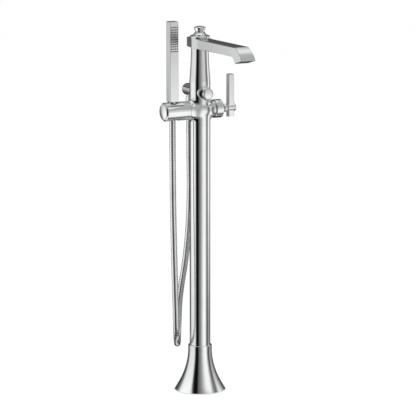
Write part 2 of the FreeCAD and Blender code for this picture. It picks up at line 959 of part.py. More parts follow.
def spout():
    collar = rod("z", spout_collar_radius, spout_bottom, spout_top)
    body = spout_bar().fuse([collar, spout_web(-1), spout_web(1)])
    channel = spout_side(0, spout_half_width).makeOffset2D(-spout_wall)
    channel = channel.extrude(vec(2 * spout_half_width - 2 * spout_wall, 0, 0))
    channel.translate(vec(spout_wall, 0, 0))
    bore = rod("z", spigot_radius + running_fit, spout_bottom - overrun, spout_top + overrun)
    mouth = block((-outlet_half_width, outlet_half_width), (-outlet_half_length, outlet_half_length),
                  (-overrun, former_recess + former_thickness))
    mouth.Placement = outlet_frame()
    return body.cut([channel, bore, mouth])


def stream_former():
    half_width = outlet_half_width - slip_fit
    half_length = outlet_half_length - slip_fit
    end = former_recess + former_thickness
    former = block((-half_width, half_width), (-half_length, half_length), (former_recess, end))
    pitch = 2 * half_length / former_slot_count
    slots = []
    for number in range(former_slot_count):
        middle = -half_length + pitch * (number + 0.5)
        slots.append(block((former_rib - half_width, half_width - former_rib),
                           (middle - former_slot_half_width, middle + former_slot_half_width),
                           (0, end + overrun)))
    former = former.cut(slots)
    former.Placement = outlet_frame()
    return former


def finial():
    def high(height):
        return finial_bottom + height

    rim_low = finial_rim_height - finial_rim_round
    knob_top = finial_knob_height + finial_knob_rim
    return turned("z", (0, finial_bottom - finial_stud_length), [
        ((finial_stud_radius, finial_bottom - finial_stud_length),),
        ((finial_stud_radius, finial_bottom),),
        ((finial_base_radius, finial_bottom),),
        ((finial_base_radius, high(finial_base_height)),),
        ((finial_rim_radius, high(finial_base_height + finial_rim_round)),),
        ((finial_rim_radius, high(rim_low)),),
        ((finial_rim_radius - finial_rim_round, high(finial_rim_height)),),
        ((finial_flare_radius, high(finial_flare_height)), (finial_waist_radius, high(finial_waist_height))),
        ((finial_cup_radius, high(finial_cup_height)), (finial_knob_radius, high(finial_knob_height))),
        ((finial_knob_radius, high(knob_top)),),
        dome_step(finial_knob_radius, high(knob_top), high(finial_height)),
    ])


# Cradle arm
def cradle_arm():
    arm = rod("x", arm_radius, -arm_end, -arm_seam, 0, 0, valve_height)
    arm = chamfered(arm, arm_end_chamfer, lambda edge: at(edge, "x", -arm_end))
    arm = chamfered(arm, seam_chamfer, lambda edge: at(edge, "x", -arm_seam))
    flange_seat = bushing_top - bushing_flange_height
    recess = arm_end - arm_cap_recess_depth
    return arm.cut([
        rod("z", bushing_radius + slip_fit, valve_height - arm_radius - overrun, arm_crest + overrun,
            -cradle_place),
        rod("z", bushing_flange_radius + slip_fit, flange_seat, arm_crest + overrun, -cradle_place),
        rod("x", arm_stud_radius + slip_fit, -arm_seam - arm_stud_in_arm, overrun - arm_seam, 0, 0,
            valve_height),
        rod("x", arm_cap_recess_radius + slip_fit, -arm_end - overrun, -recess, 0, 0, valve_height),
    ])


def arm_stud():
    return rod("x", arm_stud_radius, -arm_seam - arm_stud_in_arm, arm_stud_in_body - arm_seam, 0, 0,
               valve_height)


def cap_seal_start():
    return arm_end - cap_spigot_length / 2 - cap_seal_height / 2


def arm_end_cap():
    spigot = arm_cap_recess_radius
    rim_start = arm_end + cap_groove
    rim_end = rim_start + cap_rim
    groove_start = cap_seal_start()
    groove_end = groove_start + cap_seal_height
    return turned("x", (0, arm_end - cap_spigot_length), [
        ((spigot, arm_end - cap_spigot_length),),
        ((spigot, groove_start),),
        ((spigot - cap_seal_width, groove_start),),
        ((spigot - cap_seal_width, groove_end),),
        ((spigot, groove_end),),
        ((spigot, rim_start),),
        ((cap_radius, rim_start),),
        ((cap_radius, rim_end),),
        dome_step(cap_radius, rim_end, rim_end + cap_dome),
    ], 0, 0, valve_height, -1)


def arm_cap_seal():
    start = cap_seal_start()
    inner = arm_cap_recess_radius - cap_seal_width + slip_fit
    return pipe("x", arm_cap_recess_radius, inner, -start, -start - cap_seal_height, 0, 0, valve_height)


def cradle_bushing():
    foot = valve_height - arm_radius + bushing_foot_lift
    flange_seat = bushing_top - bushing_flange_height
    cone_foot = bushing_top - cradle_nut_cone
    return turned("z", (bushing_bore, foot), [
        ((bushing_radius, foot),),
        ((bushing_radius, flange_seat),),
        ((bushing_flange_radius, flange_seat),),
        ((bushing_flange_radius, bushing_top),),
        ((cradle_nut_top_radius + loose_gap, bushing_top),),
        ((bushing_bore, cone_foot),),
    ], -cradle_place)


# Hose outlet
def outlet_elbow():
    start = port_boss_reach + elbow_seal_thickness
    thread_end = port_height - elbow_thread_drop
    elbow = rod("y", elbow_radius, start, elbow_end, 0, 0, port_height)
    elbow = rounded(elbow, elbow_end_round, lambda edge: at(edge, "y", elbow_end))
    elbow = elbow.fuse([
        rod("z", elbow_neck_radius, port_height - elbow_neck_drop, port_height, 0, elbow_place),
        rod("z", elbow_thread_radius, thread_end, port_height - elbow_neck_drop, 0, elbow_place),
    ])
    return elbow.cut([
        rod("y", port_waterway_radius, start - overrun, elbow_place, 0, 0, port_height),
        rod("z", elbow_waterway_radius, thread_end - overrun, port_height, 0, elbow_place),
    ])


def elbow_seal():
    return pipe("y", elbow_radius, elbow_seal_inner_radius, port_boss_reach,
                port_boss_reach + elbow_seal_thickness, 0, 0, port_height)


def hose_washer_elbow():
    top = port_height - elbow_thread_drop
    return pipe("z", elbow_thread_radius, nut_bore, top - hose_washer_thickness, top, 0, elbow_place)


def hose_nut_elbow():
    top = port_height - elbow_neck_drop
    shoulder = port_height - elbow_thread_drop - hose_washer_thickness
    thread = elbow_thread_radius + slip_fit
    return turned("z", (nut_bore, hose_end_height), [
        ((elbow_nut_foot_radius, hose_end_height),),
        ((elbow_nut_radius, hose_end_height + elbow_nut_cone),),
        ((elbow_nut_radius, top),),
        ((thread, top),),
        ((thread, shoulder),),
        ((nut_bore, shoulder),),
    ], 0, elbow_place)


def nipple_end():
    return handset_bottom - handset_nipple_length


def hose_nut_handset():
    cone_top = bushing_top
    flange_top = cone_top + cradle_nut_flange_height
    shoulder = nipple_end() - hose_washer_thickness
    bore = handset_nipple_radius + running_fit
    return turned("z", (nut_bore, hose_end_height), [
        ((cradle_nut_foot_radius, hose_end_height),),
        ((cradle_nut_foot_radius, cone_top - cradle_nut_cone),),
        ((cradle_nut_top_radius, cone_top),),
        ((cradle_nut_flange_radius, cone_top),),
        ((cradle_nut_flange_radius, flange_top),),
        ((bore, flange_top),),
        ((bore, shoulder),),
        ((nut_bore, shoulder),),
    ], -cradle_place)


def hose_washer_handset():
    top = nipple_end()
    return pipe("z", handset_nipple_radius, nut_bore, top - hose_washer_thickness, top, -cradle_place)


# Hose
def hose_path():
    """Edges of the route: straight runs joined by tangent arcs."""
    points = [vec(*point) for point in hose_route]
    edges = []
    radii = []
    here = points[0]
    for before, corner, after in zip(points, points[1:], points[2:]):
        run_in = (before - corner)
        run_out = (after - corner)
        turn = math.pi - run_in.getAngle(run_out)
        trim = hose_arc_share * min(run_in.Length, run_out.Length)
        radius = trim / math.tan(turn / 2)
        radii.append(radius)
        unit_in = vec(run_in).normalize()
        unit_out = vec(run_out).normalize()
        start = corner + unit_in * trim
        end = corner + unit_out * trim
        inward = (unit_in + unit_out).normalize()
        middle = corner + inward * (radius / math.cos(turn / 2) - radius)
        edges.append(Part.LineSegment(here, start).toShape())
        edges.append(Part.Arc(start, middle, end).toShape())
        here = end
    edges.append(Part.LineSegment(here, points[-1]).toShape())
    print("hose bend radii", [round(radius, 1) for radius in radii])
    return edges


def station(edges, distance):
    """Point and direction at a distance along the route."""
    for edge in edges:
        if distance <= edge.Length or edge is edges[-1]:
            here = edge.getParameterByLength(min(max(distance, 0), edge.Length))
            return edge.valueAt(here), edge.tangentAt(here)
        distance -= edge.Length


def ring(point, direction, radius):
    """Circle square to the route whose X axis stays close to one steady direction."""
    steady = vec(hose_route[-1][1] - hose_route[0][1], hose_route[0][0] - hose_route[-1][0], 0)
    side = (steady - direction * steady.dot(direction)).normalize()
    circle = Part.makeCircle(radius)
    turn = FreeCAD.Rotation(side, direction.cross(side), direction, "ZXY")
    circle.Placement = FreeCAD.Placement(point, turn)
    return Part.Wire([circle])


def strand_faces(rings):
    """Ruled skins of the falling and the rising strand, which meet at the foot of the loop."""
    foot = min(range(len(rings)), key=lambda number: rings[number].CenterOfMass.z)
    skins = [Part.makeLoft(rings[:foot + 1], False, True), Part.makeLoft(rings[foot:], False, True)]
    return skins[0].Faces + skins[1].Faces


def shower_hose():
    edges = hose_path()
    length = sum(edge.Length for edge in edges)
    ribs = min(hose_most_ribs, int(length / hose_pitch))
    pitch = length / ribs
    heights = (hose_valley_radius, hose_radius, hose_radius, hose_valley_radius)
    outer = []
    bores = []
    for rib in range(ribs):
        for share, radius in zip(hose_rib_shares, heights):
            point, direction = station(edges, (rib + share) * pitch)
            outer.append(ring(point, direction, radius))
        point, direction = station(edges, rib * pitch)
        bores.append(ring(point, direction, hose_bore))
    point, direction = station(edges, length)
    outer.append(ring(point, direction, hose_valley_radius))
    bores.append(ring(point, direction, hose_bore))
    ends = [Part.Face(outer[place]).cut(Part.Face(bores[place])) for place in (0, -1)]
    skin = Part.makeCompound(strand_faces(outer) + strand_faces(bores) + ends)
    skin.sewShape()
    hose = Part.makeSolid(skin.Shells[0])
    print("hose length", round(length, 1), "ribs", ribs, "gap to itself", round(least_gap(edges, length), 1))
    print("hose volume", round(hose.Volume), "section times length", round(hose_section() * length))
    return hose


def hose_section():
    """Mean area of the hose wall across one rib."""
    crest_share = hose_rib_shares[2] - hose_rib_shares[1]
    valley_share = 1 - hose_rib_shares[3]
    slope_share = 1 - crest_share - valley_share
    middle = (hose_radius + hose_valley_radius) / 2
    area = crest_share * hose_radius ** 2 + slope_share * middle ** 2
    area += valley_share * hose_valley_radius ** 2
    return math.pi * (area - hose_bore ** 2)


def least_gap(edges, length):
    """Least distance between stretches of the hose that are not neighbours."""
    count = int(length / hose_radius)
    points = [station(edges, length * number / count)[0] for number in range(count + 1)]
    apart = 2 * int(math.pi * 2)
    gaps = [a.distanceToPoint(b) for i, a in enumerate(points) for b in points[i + apart:]]
    return min(gaps) - 2 * hose_radius


# Hand shower
def handset_cavity(low, high):
    half_width = handset_half_width - handset_side_wall
    half_depth = handset_half_depth - handset_face_wall
    x_range = (-cradle_place - half_width, half_width - cradle_place)
    return block(x_range, (-half_depth, half_depth), (low, high))


def nozzle_places():
    """Centres of the spray nubs as (x, z)."""
    top = handset_bottom + handset_length - nozzle_top_margin
    for row in range(nozzle_rows):
        for column in range(nozzle_columns):
            x = (column - (nozzle_columns - 1) / 2) * nozzle_column_pitch - cradle_place
            yield x, top - row * nozzle_row_pitch


def nozzle_form(x, z, front, back, clearance):
    """Spray nub with round ends about the point x, z."""
    radius = nozzle_half_height + clearance
    offset = nozzle_half_width - nozzle_half_height
    middle = block((x - offset, x + offset), (front, back), (z - radius, z + radius))
    ends = [rod("y", radius, front, back, x + side * offset, 0, z) for side in (-1, 1)]
    return middle.fuse(ends).removeSplitter()


def handset_body():
    top = handset_bottom + handset_length
    body = block((-cradle_place - handset_half_width, handset_half_width - cradle_place),
                 (-handset_half_depth, handset_half_depth), (handset_bottom, top))
    body = body.makeFillet(handset_edge_round, body.Edges)
    cavity = handset_cavity(handset_bottom - overrun, top - handset_top_wall)
    front = -handset_half_depth - overrun
    holes = [nozzle_form(x, z, front, 0, slip_fit) for x, z in nozzle_places()]
    return body.cut([cavity] + holes)


def handset_inlet():
    half_width = handset_half_width - handset_side_wall - slip_fit
    half_depth = handset_half_depth - handset_face_wall - slip_fit
    plug = block((-cradle_place - half_width, half_width - cradle_place), (-half_depth, half_depth),
                 (handset_bottom, handset_bottom + handset_plug_height))
    collar_bottom = handset_bottom - handset_gap
    plug = plug.fuse([
        rod("z", handset_collar_radius, collar_bottom, handset_bottom, -cradle_place),
        rod("z", handset_nipple_radius, nipple_end(), handset_bottom, -cradle_place),
    ])
    top = handset_bottom + handset_plug_height
    return plug.cut(rod("z", waterway_radius, nipple_end() - overrun, top + overrun, -cradle_place))


def nozzle_mat():
    wall = handset_half_depth - handset_face_wall
    places = list(nozzle_places())
    xs = [x for x, z in places]
    zs = [z for x, z in places]
    low = min(zs) - mat_margin
    high = max(zs) + mat_margin
    margin = min(mat_margin, handset_half_width - handset_side_wall - slip_fit - max(xs) - cradle_place)
    mat = block((min(xs) - margin, max(xs) + margin), (-wall, mat_thickness - wall), (low, high))
    front = -handset_half_depth - nozzle_reach
    nubs = [nozzle_form(x, z, front, -wall, 0) for x, z in places]
    return mat.fuse(nubs).removeSplitter()


PIECES = [
    mounting_plate, floor_gasket, base_cover, base_seal_ring, column_tube, column_set_screws,
    hot_supply_tube, cold_supply_tube, supply_tube_seals, column_ring, valve_body,
    cartridge_gasket, cartridge_housing, fixed_disc, moving_disc, cartridge_carrier,
    lever_pivot_pin, cartridge_nut, valve_bonnet, lever_stem, stem_dome, lever_handle, lever_set_screw,
    diverter_cartridge, diverter_bonnet, diverter_stem, diverter_knob, diverter_set_screw,
    upper_post, post_seals, swivel_washer, finial_washer, spout, stream_former, finial,
    cradle_arm, arm_stud, arm_end_cap, arm_cap_seal, cradle_bushing,
    outlet_elbow, elbow_seal, hose_nut_elbow, hose_washer_elbow, hose_nut_handset, hose_washer_handset,
    shower_hose, handset_body, handset_inlet, nozzle_mat,
]


def main():
    os.makedirs("parts", exist_ok=True)
    for piece in PIECES:
        shape = piece()
        print(piece.__name__, shape.ShapeType, len(shape.Solids), shape.isValid(), round(shape.Volume))
        shape.exportStep("parts/" + piece.__name__ + ".step")


main()
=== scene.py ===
import json
import math

import bmesh
import bpy
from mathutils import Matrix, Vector


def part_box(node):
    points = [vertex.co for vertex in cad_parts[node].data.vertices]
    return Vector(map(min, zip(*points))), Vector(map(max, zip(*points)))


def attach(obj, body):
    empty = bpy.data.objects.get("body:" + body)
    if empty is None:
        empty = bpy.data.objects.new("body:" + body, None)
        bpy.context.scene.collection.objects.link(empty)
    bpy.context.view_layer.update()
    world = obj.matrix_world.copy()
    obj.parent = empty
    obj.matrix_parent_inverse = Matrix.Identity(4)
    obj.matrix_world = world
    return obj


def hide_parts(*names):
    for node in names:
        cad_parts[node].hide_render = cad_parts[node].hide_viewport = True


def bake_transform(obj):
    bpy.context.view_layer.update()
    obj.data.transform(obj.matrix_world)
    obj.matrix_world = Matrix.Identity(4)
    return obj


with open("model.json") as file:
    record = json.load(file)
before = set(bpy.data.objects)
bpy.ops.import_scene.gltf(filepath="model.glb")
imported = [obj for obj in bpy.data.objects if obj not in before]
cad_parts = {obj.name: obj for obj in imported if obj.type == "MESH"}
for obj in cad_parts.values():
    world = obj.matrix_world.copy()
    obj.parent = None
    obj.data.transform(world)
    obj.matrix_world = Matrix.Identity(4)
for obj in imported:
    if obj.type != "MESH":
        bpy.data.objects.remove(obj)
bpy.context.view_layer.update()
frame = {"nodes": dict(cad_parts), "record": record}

# Lengths are in metres and angles in degrees
HALF_TURN = 180
QUARTER_TURN = 90

# Camera at the photograph's viewing angle
CAMERA_AZIMUTH = -27.24
CAMERA_DISTANCE = 6.389
CAMERA_HEIGHT = 1.610
CAMERA_PITCH = 10.19
CAMERA_YAW = -0.18
FOCAL_LENGTH_PIXELS = 2611.5
IMAGE_PIXELS = 416
SENSOR_WIDTH_MM = 36.0

# Route of the hose, from the elbow to the hand shower
HOSE_ROUTE = [
    (0.0, 0.0572, 0.6935),
    (0.0, 0.0572, 0.6120),
    (0.0044, 0.0615, 0.4690),
    (-0.0018, 0.0695, 0.3340),
    (-0.0152, 0.0840, 0.2240),
    (-0.0160, 0.0883, 0.1485),
    (-0.0443, 0.0368, 0.1063),
    (-0.0752, -0.0179, 0.1400),
    (-0.0776, -0.0199, 0.2146),
    (-0.0785, -0.0147, 0.3246),
    (-0.0752, -0.0017, 0.4595),
    (-0.0757, 0.0, 0.6100),
    (-0.0757, 0.0, 0.6935),
]
ROUTE_ORDER = 3
ROUTE_STEPS = 24
HOSE_RADIUS = 0.0077
HOSE_VALLEY = 0.0073
HOSE_BORE = 0.0050
HOSE_PITCH = 0.0066
HOSE_SIDES = 32
# One rib: (share of the pitch, share of the rise from the valley to the crest)
RIB_PROFILE = [
    (0.0, 0.0), (0.07, 0.0), (0.10, 0.86), (0.15, 0.96),
    (0.50, 1.0), (0.85, 0.96), (0.90, 0.86), (0.93, 0.0),
]

# Diverter knob with a domed face, a soft rim and a peg below
KNOB_HALF_THICKNESS = 0.0034
KNOB_RIM_ROUND = 0.0030
KNOB_BACK_ROUND = 0.0008
KNOB_FACE_TILT = 8
KNOB_FLAT_SHARE = 0.0625
PEG_RADIUS = 0.0044
PEG_ROUND = 0.0015
PEG_START_IN_RIM = 0.0025
ROUND_STEPS = 8
TURNED_SIDES = 64

# Studio cards that the chrome reflects: (degrees round from the camera, brightness)
CARD_BANDS = [
    (-180, 0.10), (-158, 0.05), (-146, 0.07), (-134, 0.13), (-124, 0.28), (-117, 0.50),
    (-110, 0.98), (-98, 1.12), (-62, 1.08), (-52, 0.85), (-44, 0.12), (-37, 0.005),
    (-19, 0.005), (-13, 0.07), (-6, 0.17), (4, 0.26), (14, 0.41), (25, 0.68), (36, 0.97),
    (48, 1.08), (62, 1.0), (70, 0.60), (77, 0.30), (88, 0.14), (96, 0.45), (103, 1.1),
    (112, 1.1), (124, 0.80), (138, 0.30), (155, 0.08), (180, 0.10),
]
CARD_RADIUS = 0.60
CARD_TOP = 0.90
CARD_STEP = 3
# How much of their brightness the cards keep at the floor and at the top: (degrees round, share)
FLOOR_SHARES = [
    (-180, 0.60), (-60, 0.82), (-44, 1.0), (34, 1.05),
    (66, 1.0), (84, 0.60), (100, 0.32), (180, 0.50),
]
TOP_SHARES = [
    (-180, 0.66), (-150, 0.8), (-142, 1.2), (-132, 3.0), (-124, 1.9), (-117, 1.2), (-108, 0.72),
    (-60, 0.80), (-44, 1.0), (0, 0.90), (34, 0.64), (70, 0.62), (90, 0.90), (180, 1.0),
]
# The floor's share holds below the first height, and the top's share above the last.
# Between the second and the third, the cards have their own brightness.
FADE_HEIGHTS = [0.05, 0.42, 0.58, 0.78]
# Upper studio before and behind the object: (degrees up, brightness)
UPPER_FRONT = [
    (0, 0.40), (18, 0.44), (40, 0.46), (62, 0.48), (69, 1.0), (74, 1.08), (90, 1.08),
]
UPPER_BACK = [
    (0, 0.06), (8, 0.07), (22, 0.13), (38, 0.30), (48, 0.46), (56, 0.92), (90, 1.05),
]
UPPER_FRONT_TURN = 108
UPPER_BACK_TURN = 124
UPPER_RADIUS = 8.0
# Dark flag in the upper studio: (degrees round, share of the light that it lets by).
# It stands in full up to the first height, and is gone at the second.
FLAG_SHARES = [
    (-180, 1.0), (-54, 1.0), (-42, 0.06), (-18, 0.06), (-4, 0.5), (14, 1.0), (180, 1.0),
]
FLAG_TOP = 44
FLAG_END = 62
# Floor card, pale at the foot, dark round it and pale again:
# (reach, share of the brightness of the cards' foot, brightness of its own)
FLOOR_RINGS = [
    (0.0, 0.0, 0.90), (0.085, 0.0, 0.90), (0.12, 0.0, 0.085),
    (0.22, 0.0, 0.085), (0.34, 0.95, 0.0), (0.60, 1.0, 0.0),
]
FLOOR_CARD_HEIGHT = 0.002

# Floor and light
FLOOR_SIDES = 96
FLOOR_RADIUS = 9.0
FLOOR_LEVEL = -0.0005
FLOOR_COLOUR = (0.92, 0.92, 0.92, 1.0)
FLOOR_WHITE_SHARE = 0.8
WHITE = (1.0, 1.0, 1.0, 1.0)
WHITE_STRENGTH = 1.0
FILL_STRENGTH = 1.06
LAMP_PLACE = (-1.2, -1.6, 2.6)
LAMP_TARGET = (0.0, 0.0, 0.5)
LAMP_SIZE = 2.0
LAMP_ENERGY = 40.0

# Every material has a cloudy tint, and a finer grain in its gloss and its relief
CLOUD_SIZE_IN_GRAINS = 12
CLOUD_DETAIL = 3.0
GRAIN_DETAIL = 4.0
TINT_STOPS = [0.35, 0.65]
RELIEF_DEPTH = 0.0002
CHROME_TINTS = [(0.84, 0.845, 0.85), (0.88, 0.885, 0.89)]
SURFACES = {
    "chrome": {
        "name": "polished_chrome", "tints": CHROME_TINTS,
        "roughness": (0.03, 0.07), "metallic": 1.0, "grain": 220.0, "bump": 0.01,
    },
    "satin_chrome": {
        "name": "satin_chrome", "tints": CHROME_TINTS,
        "roughness": (0.15, 0.21), "metallic": 1.0, "grain": 220.0, "bump": 0.01,
    },
    "hose_chrome": {
        "name": "hose_chrome", "tints": [(0.72, 0.725, 0.73), (0.82, 0.825, 0.83)],
        "roughness": (0.05, 0.10), "metallic": 1.0, "grain": 300.0, "bump": 0.02,
    },
    "brass": {
        "name": "machined_brass", "tints": [(0.66, 0.49, 0.22), (0.74, 0.57, 0.30)],
        "roughness": (0.22, 0.36), "metallic": 1.0, "grain": 260.0, "bump": 0.05,
    },
    "steel": {
        "name": "screw_steel", "tints": [(0.50, 0.50, 0.51), (0.60, 0.60, 0.61)],
        "roughness": (0.25, 0.40), "metallic": 1.0, "grain": 320.0, "bump": 0.05,
    },
    "rubber": {
        "name": "seal_rubber", "tints": [(0.020, 0.020, 0.021), (0.035, 0.035, 0.036)],
        "roughness": (0.55, 0.75), "metallic": 0.0, "grain": 400.0, "bump": 0.15,
    },
    "nozzle_rubber": {
        "name": "nozzle_rubber", "tints": [(0.030, 0.030, 0.032), (0.045, 0.045, 0.048)],
        "roughness": (0.45, 0.62), "metallic": 0.0, "grain": 500.0, "bump": 0.12,
    },
    "acetal": {
        "name": "acetal", "tints": [(0.80, 0.80, 0.78), (0.87, 0.87, 0.85)],
        "roughness": (0.30, 0.45), "metallic": 0.0, "grain": 240.0, "bump": 0.04,
    },
    "dark_plastic": {
        "name": "dark_plastic", "tints": [(0.035, 0.035, 0.037), (0.055, 0.055, 0.057)],
        "roughness": (0.35, 0.5), "metallic": 0.0, "grain": 300.0, "bump": 0.08,
    },
    "ceramic": {
        "name": "lapped_ceramic", "tints": [(0.88, 0.87, 0.84), (0.93, 0.92, 0.90)],
        "roughness": (0.12, 0.22), "metallic": 0.0, "grain": 200.0, "bump": 0.02,
    },
}
# Pieces whose chrome is not polished
FINISHES = {"spout": "satin_chrome", "handset_body": "satin_chrome"}
# The photographed chrome shows no reflection of the hand shower
UNREFLECTED_NODES = ["handset_body", "nozzle_mat", "handset_inlet"]


def add_object(name, data):
    made = bpy.data.objects.new(name, data)
    bpy.context.scene.collection.objects.link(made)
    return made


def mesh_object(name, points, faces, smooth=True):
    mesh = bpy.data.meshes.new(name)
    mesh.from_pydata(points, [], faces)
    mesh.update()
    for polygon in mesh.polygons:
        polygon.use_smooth = smooth
    return add_object(name, mesh)


def skin(first, count, sides, flip=False):
    """Faces between rings of points that follow each other."""
    faces = []
    for ring in range(count - 1):
        low = first + ring * sides
        high = low + sides
        for number in range(sides):
            after = (number + 1) % sides
            face = (low + number, low + after, high + after, high + number)
            faces.append(face[::-1] if flip else face)
    return faces


def make_camera():
    azimuth = math.radians(CAMERA_AZIMUTH)
    heading = math.radians(CAMERA_AZIMUTH + CAMERA_YAW)
    pitch = math.radians(CAMERA_PITCH)
    data = bpy.data.cameras.new("camera")
    data.sensor_width = SENSOR_WIDTH_MM
    data.lens = FOCAL_LENGTH_PIXELS / IMAGE_PIXELS * SENSOR_WIDTH_MM
    camera = add_object("camera", data)
    camera.location = (
        math.sin(azimuth) * CAMERA_DISTANCE,
        -math.cos(azimuth) * CAMERA_DISTANCE,
        CAMERA_HEIGHT,
    )
    forward = Vector((
        -math.sin(heading) * math.cos(pitch),
        math.cos(heading) * math.cos(pitch),
        -math.sin(pitch),
    ))
    camera.rotation_euler = forward.to_track_quat("-Z", "Y").to_euler()
    bpy.context.scene.camera = camera


# Hose
def hose_line():
    """Points along the smooth line of the hose's route."""
    curve = bpy.data.curves.new("hose_route", "CURVE")
    curve.dimensions = "3D"
    curve.resolution_u = ROUTE_STEPS
    spline = curve.splines.new("NURBS")
    spline.points.add(len(HOSE_ROUTE) - 1)
    for point, place in zip(spline.points, HOSE_ROUTE):
        point.co = (*place, 1.0)
    spline.order_u = ROUTE_ORDER
    spline.use_endpoint_u = True
    route = add_object("hose_route", curve)
    line = bpy.data.meshes.new_from_object(route)
    points = [vertex.co.copy() for vertex in line.vertices]
    bpy.data.objects.remove(route)
    bpy.data.curves.remove(curve)
    bpy.data.meshes.remove(line)
    return points


def along(points):
    """Distances of the points along their line."""
    distances = [0.0]
    for before, after in zip(points, points[1:]):
        distances.append(distances[-1] + (after - before).length)
    return distances


def frames_along(points, wanted):
    """Point, side and second side at each wanted distance, with no twist from one to the next."""
    distances = along(points)
    frames = []
    segment = 0
    side = None
    for distance in wanted:
        while segment < len(points) - 2 and distances[segment + 1] < distance:
            segment += 1
        span = distances[segment + 1] - distances[segment]
        share = (distance - distances[segment]) / span
        place = points[segment].lerp(points[segment + 1], share)
        before = points[max(segment - 1, 0)]
        after = points[min(segment + 2, len(points) - 1)]
        start = (points[segment + 1] - before).normalized()
        end = (after - points[segment]).normalized()
        direction = start.lerp(end, share).normalized()
        if side is None:
            side = direction.orthogonal()
        side = (side - direction * side.dot(direction)).normalized()
        frames.append((place, side, direction.cross(side)))
    return frames


def rings(frames, radii):
    """Points of one ring for each frame."""
    points = []
    for (place, side, other), radius in zip(frames, radii):
        for number in range(HOSE_SIDES):
            angle = 2 * math.pi * number / HOSE_SIDES
            points.append(place + (side * math.cos(angle) + other * math.sin(angle)) * radius)
    return points


def end_faces(outer, inner, flip):
    """Flat ring that closes one end of the hose wall."""
    faces = []
    for number in range(HOSE_SIDES):
        after = (number + 1) % HOSE_SIDES
        face = (outer + number, inner + number, inner + after, outer + after)
        faces.append(face[::-1] if flip else face)
    return faces


def make_hose():
    line = hose_line()
    length = along(line)[-1]
    ribs = round(length / HOSE_PITCH)
    pitch = length / ribs
    wanted = []
    radii = []
    for rib in range(ribs):
        for place, rise in RIB_PROFILE:
            wanted.append((rib + place) * pitch)
            radii.append(HOSE_VALLEY + (HOSE_RADIUS - HOSE_VALLEY) * rise)
    wanted.append(length)
    radii.append(HOSE_VALLEY)
    bore = [pitch * rib for rib in range(ribs + 1)]
    points = rings(frames_along(line, wanted), radii)
    inner = len(points)
    points += rings(frames_along(line, bore), [HOSE_BORE] * len(bore))
    faces = skin(0, len(wanted), HOSE_SIDES) + skin(inner, len(bore), HOSE_SIDES, True)
    faces += end_faces(0, inner, True)
    faces += end_faces(inner - HOSE_SIDES, len(points) - HOSE_SIDES, False)
    hose = mesh_object("ribbed_hose", points, faces)
    hose.data.materials.append(MATERIALS["hose_chrome"])
    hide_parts("shower_hose")
    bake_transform(hose)


# Materials
def node(tree, kind, **inputs):
    made = tree.nodes.new(kind)
    for name, value in inputs.items():
        made.inputs[name.replace("_", " ")].default_value = value
    return made


def surface(name, tints, roughness, metallic, grain, bump):
    """Material whose colour and gloss vary a little with a fine grain."""
    material = bpy.data.materials.new(name)
    material.use_nodes = True
    tree = material.node_tree
    shader = tree.nodes["Principled BSDF"]
    shader.inputs["Metallic"].default_value = metallic
    place = tree.nodes.new("ShaderNodeTexCoord")
    cloud = node(
        tree, "ShaderNodeTexNoise", Scale=grain / CLOUD_SIZE_IN_GRAINS, Detail=CLOUD_DETAIL)
    fine = node(tree, "ShaderNodeTexNoise", Scale=grain, Detail=GRAIN_DETAIL)
    ramp = tree.nodes.new("ShaderNodeValToRGB")
    for stop, position, tint in zip(ramp.color_ramp.elements, TINT_STOPS, tints):
        stop.position = position
        stop.color = (*tint, 1.0)
    gloss = node(tree, "ShaderNodeMapRange", To_Min=roughness[0], To_Max=roughness[1])
    relief = node(tree, "ShaderNodeBump", Strength=bump, Distance=RELIEF_DEPTH)
    link = tree.links.new
    link(place.outputs["Object"], cloud.inputs["Vector"])
    link(place.outputs["Object"], fine.inputs["Vector"])
    link(cloud.outputs["Fac"], ramp.inputs["Fac"])
    link(ramp.outputs["Color"], shader.inputs["Base Color"])
    link(fine.outputs["Fac"], gloss.inputs["Value"])
    link(gloss.outputs["Result"], shader.inputs["Roughness"])
    link(fine.outputs["Fac"], relief.inputs["Height"])
    link(relief.outputs["Normal"], shader.inputs["Normal"])
    return material


MATERIALS = {slot: surface(**look) for slot, look in SURFACES.items()}


# Diverter knob
def arc(centre, radius, start, end):
    """Points of a round from one angle to another."""
    points = []
    for step in range(ROUND_STEPS + 1):
        angle = math.radians(start + (end - start) * step / ROUND_STEPS)
        points.append((
            centre[0] + radius * math.cos(angle),
            centre[1] + radius * math.sin(angle),
        ))
    return points


def turned(profile, place, first):
    """Points and faces of a closed turned shape whose profile is (radius, reach along the axis)."""
    points = []
    for radius, reach in profile:
        for number in range(TURNED_SIDES):
            angle = 2 * math.pi * number / TURNED_SIDES
            points.append(place(radius * math.cos(angle), radius * math.sin(angle), reach))
    last = first + (len(profile) - 1) * TURNED_SIDES
    faces = skin(first, len(profile), TURNED_SIDES)
    faces.append(tuple(range(first, first + TURNED_SIDES))[::-1])
    faces.append(tuple(range(last, last + TURNED_SIDES)))
    return points, faces


def knob_profile(radius):
    """Half outline of the knob, from its flat back round the rim to the middle of its face."""
    back = arc(
        (radius - KNOB_BACK_ROUND, KNOB_BACK_ROUND - KNOB_HALF_THICKNESS),
        KNOB_BACK_ROUND, -QUARTER_TURN, 0)
    rim = arc(
        (radius - KNOB_RIM_ROUND, KNOB_HALF_THICKNESS - KNOB_RIM_ROUND),
        KNOB_RIM_ROUND, 0, QUARTER_TURN - KNOB_FACE_TILT)
    edge, start = rim[-1]
    rise = edge * math.tan(math.radians(KNOB_FACE_TILT)) / 2
    shares = [1 - step / ROUND_STEPS for step in range(1, ROUND_STEPS)] + [KNOB_FLAT_SHARE]
    face = [(edge * share, start + rise * (1 - share ** 2)) for share in shares]
    return back + rim + face


